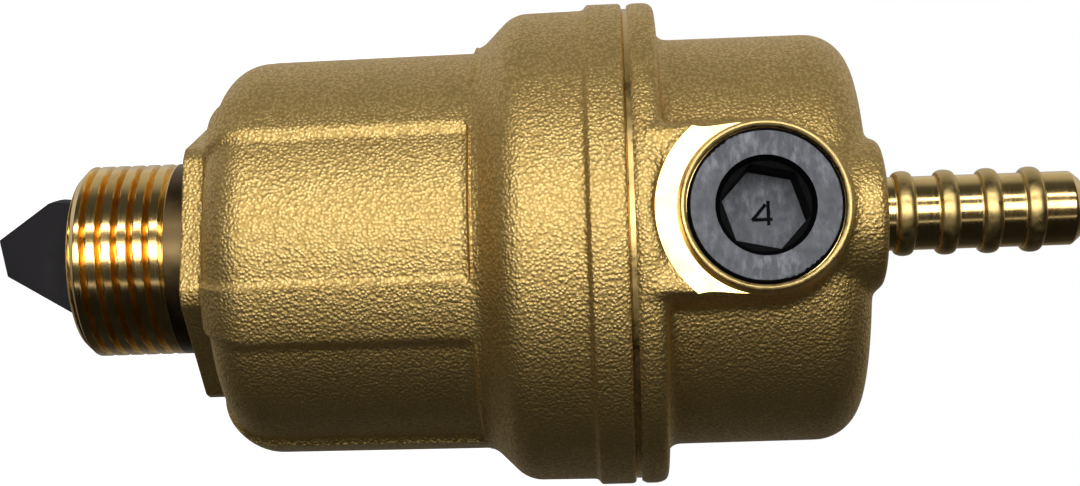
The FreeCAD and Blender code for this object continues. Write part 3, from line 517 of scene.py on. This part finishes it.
def slab(low, high):
    """Closed box between two corners given in millimetres."""
    bm = bmesh.new()
    bmesh.ops.create_cube(bm, size=1.0)
    centre, size = (Vector(low) + Vector(high)) / 2, Vector(high) - Vector(low)
    bmesh.ops.transform(bm, matrix=Matrix.Translation(centre * MM) @ Matrix.Diagonal((*size * MM, 1.0)),
                        verts=bm.verts)
    mesh = bpy.data.meshes.new("slab")
    bm.to_mesh(mesh)
    bm.free()
    return mesh


cover = show("cover_casting", cad_copy("cover"), [cast_brass, turned_brass])
soft = cover.modifiers.new("skin", "REMESH")
soft.mode, soft.voxel_size, soft.use_smooth_shade = "VOXEL", COVER_VOXEL, True
relax = cover.modifiers.new("relax", "SMOOTH")
relax.factor, relax.iterations = 0.5, 8
apply_modifiers(cover)
cut(cover, slab((-SAW_REACH, -SAW_REACH, SAW_BOTTOM), (SAW_REACH, SAW_REACH, cover_low)))
cut(cover, drum(SPOT_R, SPOT_FACE, BOSS_FACE + CUTTER_LENGTH))
for face in cover.data.polygons:
    centre = face.center / MM
    flat_spot = abs(centre.y + SPOT_FACE) < 0.01 and face.normal.y < -0.9
    face.material_index = 1 if flat_spot or centre.z < cover_low + 0.01 else 0
finish_mesh(cover.data, sharp=50)
for face in cover.data.polygons:
    face.use_smooth = face.material_index == 0
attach(cover, "casing")
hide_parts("cover")

# Spigot: the turned and threaded lower end of the cover, which shows as a bright line in the joint
joint_r = flange_r - JOINT_DEPTH
spigot_top = cover_low + 0.6
spigot_path = rounded_path(
    [(SPIGOT_BORE_R, spigot_top), (SPIGOT_BORE_R, spigot_end, 0.3), (COVER_THREAD_R - 0.03, spigot_end, 0.5),
     (COVER_THREAD_R - 0.03, seal_floor + 0.1), (SEAL_BORE_R - 0.1, seal_floor + 0.6),
     (SEAL_BORE_R - 0.1, body_top), (joint_r, body_top, 0.08), (joint_r, cover_low + 0.2),
     (SPIGOT_LIP_R, spigot_top)], 1.0)
spigot = show("cover_spigot", revolve("cover_spigot", lambda angle: spigot_path, SPIGOT_COLUMNS),
              [worn_brass])
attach(spigot, "casing")

# Rim: the raised ring turned round the plug bore
rim_path = rounded_path(
    [(PLUG_R, -3.0), (PLUG_R + 0.05, RIM_HEIGHT - 0.1, 0.08), (PLUG_R + 0.28, RIM_HEIGHT, 0.06),
     (RIM_R - 0.2, RIM_HEIGHT - 0.05, 0.12), (RIM_R, 0.15, 0.2), (RIM_R + 0.1, -0.6), (RIM_R - 0.1, -3.0)],
    0.8, 0.1)
rim_mesh = revolve("plug_rim", lambda angle: rim_path, RIM_COLUMNS)
rim_mesh.transform(Matrix.Translation((0, -BOSS_FACE * MM, PLUG_Z * MM)) @ Matrix.Rotation(pi / 2, 4, "X"))
rim = show("plug_rim", rim_mesh, [worn_brass])
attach(rim, "casing")

# -----------------------------------------------------------------------------------------------------
# Side plug. A screw plug moulded in dark grey glass-filled plastic, scuffed by its hexagon key. It is
# screwed into the bore of the side boss, a little below the top of the rim.

plug_plastic, tree, shader = material("plug_plastic", (0.11, 0.115, 0.128), Roughness=0.5)
mottle(tree, shader, on_piece(tree), 1500.0, (0.40, 0.62), detail=5.0)
scratch_place = on_piece(tree, Rotation=(0, radians(55), 0), Scale=(1.0, 1.0, 2.2))
scratch = noise(tree, scratch_place, 700.0, 4.0, 0.7)
wear = ease(tree, noise(tree, on_piece(tree), 260.0, 3.0), 0.3, 0.65, 0.35, 1.0)
scuff = calc(tree, "MULTIPLY", ease(tree, scratch, 0.4, 0.75), wear)
tone = blend_colours(tree, scuff, (0.085, 0.090, 0.104), (0.270, 0.282, 0.315))
tree.links.new(tone, shader.inputs["Base Color"])
relief(tree, shader, scratch, 0.5, 0.00002)

# The same plastic, near-black and almost without shine: painted shade on the socket walls and the other
# faces off the plug's face
plastic_painted_shade, tree, shader = material("plastic_painted_shade", (0.003, 0.003, 0.003), Specular_IOR_Level=0.05)
mottle(tree, shader, on_piece(tree), 1500.0, (0.5, 0.7), ((0.0015, 0.0015, 0.002), (0.004, 0.004, 0.0045)),
       detail=5.0)


FLAT_ANGLE, EDGE_ANGLE, EDGE_SEGMENTS = radians(1.0), radians(32), 3


def softened_copy(name, node, width, materials):
    """Copy of a CAD node with its flat faces joined up and its edges rounded by a width in millimetres."""
    mesh = cad_copy(node)
    bm = bmesh.new()
    bm.from_mesh(mesh)
    bmesh.ops.dissolve_limit(bm, angle_limit=FLAT_ANGLE, verts=bm.verts, edges=bm.edges)
    bm.to_mesh(mesh)
    bm.free()
    piece = show(name, mesh, materials)
    edge = piece.modifiers.new("edge", "BEVEL")
    edge.width, edge.segments = width * MM, EDGE_SEGMENTS
    edge.limit_method, edge.angle_limit = "ANGLE", EDGE_ANGLE
    apply_modifiers(piece)
    finish_mesh(piece.data, sharp=45)
    return piece


plug = softened_copy("side_plug_face", "side_plug", 0.06, [plug_plastic, plastic_painted_shade])
plug_face = -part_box("side_plug")[0].y / MM
socket_floor = plug_face - KEY_DEPTH
# The plug's face and the socket floor take the scuffed plastic. All other faces, the socket walls among
# them, take the near-black plastic as painted shade.
for face in plug.data.polygons:
    out = -face.center.y / MM
    face_or_floor = face.normal.y < -0.97 and (out > plug_face - 0.05 or abs(out - socket_floor) < 0.03)
    face.material_index = 0 if face_or_floor else 1

# Mould line: the thin raised line that the mould leaves on the plug's face, from near the key to the rim
LINE_START, LINE_WIDTH, LINE_TURN = 4.0, 0.07, radians(-20)
line_mesh = slab((LINE_START, -plug_face - 0.02, -LINE_WIDTH / 2),
                 (PLUG_R - 0.2, -plug_face + 0.2, LINE_WIDTH / 2))
line_mesh.transform(Matrix.Translation((0, 0, PLUG_Z * MM)) @ Matrix.Rotation(LINE_TURN, 4, "Y"))
split_line = show("mould_line", line_mesh, [plug_plastic])
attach(split_line, "casing")
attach(plug, "casing")
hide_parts("side_plug")

# -----------------------------------------------------------------------------------------------------
# Hose tail. A brass tube turned from bar, with four rounded beads that grip the hose. It is screwed into
# the round boss on top of the cover.

TAIL_Y, TAIL_R, TAIL_BORE_R, TAIL_COLUMNS = -13.0, 2.925, 1.4, 96
BEAD_R, BEAD_WIDTH, BEAD_ROWS = 3.375, 1.4, 16
BEAD_COUNT, BEAD_FIRST, BEAD_STEP = 4, 58.3, 3.33
low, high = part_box("hose_tail")
tail_path = rounded_path(
    [(TAIL_BORE_R, low.z / MM), (TAIL_R, low.z / MM), (TAIL_R, high.z / MM - 0.7, 0.3),
     (TAIL_R - 0.6, high.z / MM, 0.15), (TAIL_BORE_R, high.z / MM, 0.15)], 1.2, 0.08)
tail_mesh = revolve("hose_tail_tube", lambda angle: tail_path, TAIL_COLUMNS, (0, TAIL_Y))
tail = show("hose_tail_tube", tail_mesh, [turned_brass])
bead_foot = [(TAIL_R - 0.1, 0.62), (TAIL_R + 0.01, 0.60)]
bead_arc = [(TAIL_R + 0.03 + (BEAD_R - TAIL_R - 0.03) * sin(pi * t / BEAD_ROWS) ** 0.75,
             -0.52 * cos(pi * t / BEAD_ROWS)) for t in range(BEAD_ROWS + 1)]
bead_outline = [(r, -z) for r, z in bead_foot] + bead_arc + bead_foot[::-1]
bead_path = [(r, z * BEAD_WIDTH) for r, z in bead_outline]
beads, socket = shape_tree("beads_along_tube", {
    "Count": "NodeSocketInt", "First": "NodeSocketFloat", "Step": "NodeSocketFloat",
    "Offset": "NodeSocketFloat"})
start = put(beads, "ShaderNodeCombineXYZ", [0.0, socket["Offset"], socket["First"]]).outputs[0]
step = put(beads, "ShaderNodeCombineXYZ", [0.0, 0.0, socket["Step"]]).outputs[0]
line = put(beads, "GeometryNodeMeshLine",
           {"Count": socket["Count"], "Start Location": start, "Offset": step}, mode="OFFSET")
copies = put(beads, "GeometryNodeInstanceOnPoints",
             {"Points": line.outputs[0], "Instance": socket["Geometry"]})
end_shape_tree(beads, socket, copies.outputs[0])
bead_mesh = revolve("hose_tail_beads", lambda angle: bead_path, TAIL_COLUMNS)
rings = show("hose_tail_beads", bead_mesh, [worn_brass])
shaped(rings, beads, {"Count": BEAD_COUNT, "First": BEAD_FIRST * MM, "Step": BEAD_STEP * MM,
                      "Offset": TAIL_Y * MM, "Material": worn_brass})
finish_mesh(rings.data)
for piece in (tail, rings):
    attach(piece, "casing")
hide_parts("hose_tail")

# -----------------------------------------------------------------------------------------------------
# Float tongue. A stem with a flat pointed blade, moulded in black plastic. It is plugged into the float
# above and hangs loose in the inlet.

tongue_plastic, tree, shader = material("tongue_plastic", (0.014, 0.012, 0.014), Specular_IOR_Level=0.12)
flow = mottle(tree, shader, on_piece(tree), 700.0, (0.38, 0.6),
              ((0.008, 0.007, 0.008), (0.022, 0.019, 0.022)))
relief(tree, shader, flow, 0.3, 0.00002)
tongue = softened_copy("drip_tongue", "float_tongue", 0.3, [tongue_plastic])
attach(tongue, "float")
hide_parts("float_tongue")

# -----------------------------------------------------------------------------------------------------
# Pieces inside: the float, the lever valve with its bracket and pin, the cartridge and the seals. Their CAD
# shapes are right as they are, so each only gets the finish of its material slot.

float_plastic, tree, shader = material("float_plastic", (0.78, 0.77, 0.70), Roughness=0.42)
mottle(tree, shader, on_piece(tree), 160.0, (0.36, 0.5), ((0.72, 0.70, 0.62), (0.83, 0.82, 0.76)))

seal_rubber, tree, shader = material("seal_rubber", (0.02, 0.02, 0.021), Roughness=0.6)
mottle(tree, shader, on_piece(tree), 900.0, (0.5, 0.72), ((0.014, 0.014, 0.015), (0.034, 0.034, 0.036)))

stainless, tree, shader = material("stainless", (0.56, 0.57, 0.58), Metallic=1.0)
mottle(tree, shader, on_piece(tree, Scale=(1.0, 1.0, 25.0)), 500.0, (0.22, 0.38),
       ((0.50, 0.51, 0.52), (0.64, 0.65, 0.66)))

finishes = {"cast_brass": cast_brass, "turned_brass": turned_brass, "plug_plastic": plug_plastic,
            "tongue_plastic": tongue_plastic, "float_plastic": float_plastic, "seal_rubber": seal_rubber,
            "stainless": stainless}
for row in frame["record"]["subparts"]:
    for holder in frame["nodes"][row["node"]].material_slots:
        holder.material = finishes[row["material_slot"]]

# -----------------------------------------------------------------------------------------------------
# Floor, light and camera. A plain white floor under the part, three long soft lamps in front, and white
# all round with less light from one side. The camera looks square at the side plug. The floor is seen but
# lights nothing and shows in no reflection, so the brass takes its light and dark from lamps and world.

floor_white, tree, shader = material("floor_white", (0.80, 0.80, 0.80), Roughness=0.9)
shader.inputs["Emission Color"].default_value = (1, 1, 1, 1)
shader.inputs["Emission Strength"].default_value = 1.0
FLOOR_SIZE, FLOOR_GAP = 3.0, 0.00005
level = cad_box[0].z - FLOOR_GAP
corners = [(x * FLOOR_SIZE, y * FLOOR_SIZE, level) for x, y in ((-1, -1), (1, -1), (1, 1), (-1, 1))]
floor_mesh = bpy.data.meshes.new("floor")
floor_mesh.from_pydata(corners, [], [(0, 1, 2, 3)])
floor = show("floor", floor_mesh, [floor_white])
floor.visible_diffuse = floor.visible_glossy = floor.visible_shadow = False

CAMERA_AZIMUTH, CAMERA_DISTANCE, CAMERA_HEIGHT = radians(7.155), 0.1558, 0.0357
CAMERA_YAW, CAMERA_PITCH, CAMERA_ROLL = radians(2.47), radians(0.11), radians(1.97)
SENSOR_WIDTH, FOCAL_LENGTH = 36.0, 59.58
toward = Vector((sin(CAMERA_AZIMUTH), -cos(CAMERA_AZIMUTH), 0))
right, forward = Vector((0, 0, 1)), -toward
up = right.cross(forward)
turn = Matrix.Rotation(CAMERA_YAW, 3, up)
right, forward = turn @ right, turn @ forward
turn = Matrix.Rotation(CAMERA_PITCH, 3, right)
up, forward = turn @ up, turn @ forward
turn = Matrix.Rotation(CAMERA_ROLL, 3, forward)
right, up = turn @ right, turn @ up
camera = bpy.data.objects.new("camera", bpy.data.cameras.new("camera"))
bpy.context.scene.collection.objects.link(camera)
camera.matrix_world = Matrix.Translation(toward * CAMERA_DISTANCE + Vector((0, 0, CAMERA_HEIGHT))) @ (
    Matrix((right, up, -forward)).transposed().to_4x4())
camera.data.sensor_width = SENSOR_WIDTH
camera.data.lens = FOCAL_LENGTH
camera.data.clip_start, camera.data.clip_end = 0.01, 20.0
bpy.context.scene.camera = camera

LAMP_DISTANCE, LAMP_LENGTH = 0.6, 0.8
sideways = Vector((-cos(CAMERA_AZIMUTH), -sin(CAMERA_AZIMUTH), 0))
aim = Vector((0, 0, 0.03))
for name, tilt, width, power in (("lamp_high", 41, 0.07, 1.1), ("lamp_middle", 11.5, 0.21, 2.5),
                                 ("lamp_low", -27, 0.04, 0.08)):
    lamp = bpy.data.objects.new(name, bpy.data.lights.new(name, "AREA"))
    lamp.data.shape, lamp.data.size, lamp.data.size_y = "RECTANGLE", width, LAMP_LENGTH
    lamp.data.energy = power
    bpy.context.scene.collection.objects.link(lamp)
    place = aim + (toward * cos(radians(tilt)) + sideways * sin(radians(tilt))) * LAMP_DISTANCE
    back = (place - aim).normalized()
    across = Vector((0, 0, 1)).cross(back).normalized()
    facing = Matrix((across, back.cross(across), back)).transposed().to_4x4()
    lamp.matrix_world = Matrix.Translation(place) @ facing

# Light from all round, by the angle about the part's axis: (degrees from the camera towards -X, level)
AROUND = [(-180, 0.34), (-150, 0.14), (-125, 0.03), (-90, 0.012), (-40, 0.01), (0, 0.04), (30, 0.06),
          (62, 0.04), (85, 0.08), (105, 0.40), (140, 0.62), (180, 0.36)]
world = bpy.data.worlds.new("studio")
bpy.context.scene.world = world
world.use_nodes = True
tree = world.node_tree
direction = put(tree, "ShaderNodeTexCoord").outputs["Generated"]
beside, before = [
    put(tree, "ShaderNodeVectorMath", [direction, tuple(axis)], operation="DOT_PRODUCT").outputs["Value"]
    for axis in (sideways, toward)]
around = calc(tree, "ADD", calc(tree, "DIVIDE", calc(tree, "ARCTAN2", beside, before), 2 * pi), 0.5)
ramp = put(tree, "ShaderNodeValToRGB", [around])
stops = ramp.color_ramp.elements
for i, (degree, light) in enumerate(AROUND):
    place = (degree + 180) / 360
    stop = stops[0] if i == 0 else stops[len(stops) - 1] if i == len(AROUND) - 1 else stops.new(place)
    stop.position, stop.color = place, (light, light, light, 1)
seen = put(tree, "ShaderNodeLightPath").outputs["Is Camera Ray"]
strength = put(tree, "ShaderNodeMapRange", [seen, 0.0, 1.0, ramp.outputs["Color"], 1.0]).outputs[0]
tree.nodes["Background"].inputs["Color"].default_value = (1, 1, 1, 1)
tree.links.new(strength, tree.nodes["Background"].inputs["Strength"])
bpy.context.scene.view_settings.view_transform = "Standard"
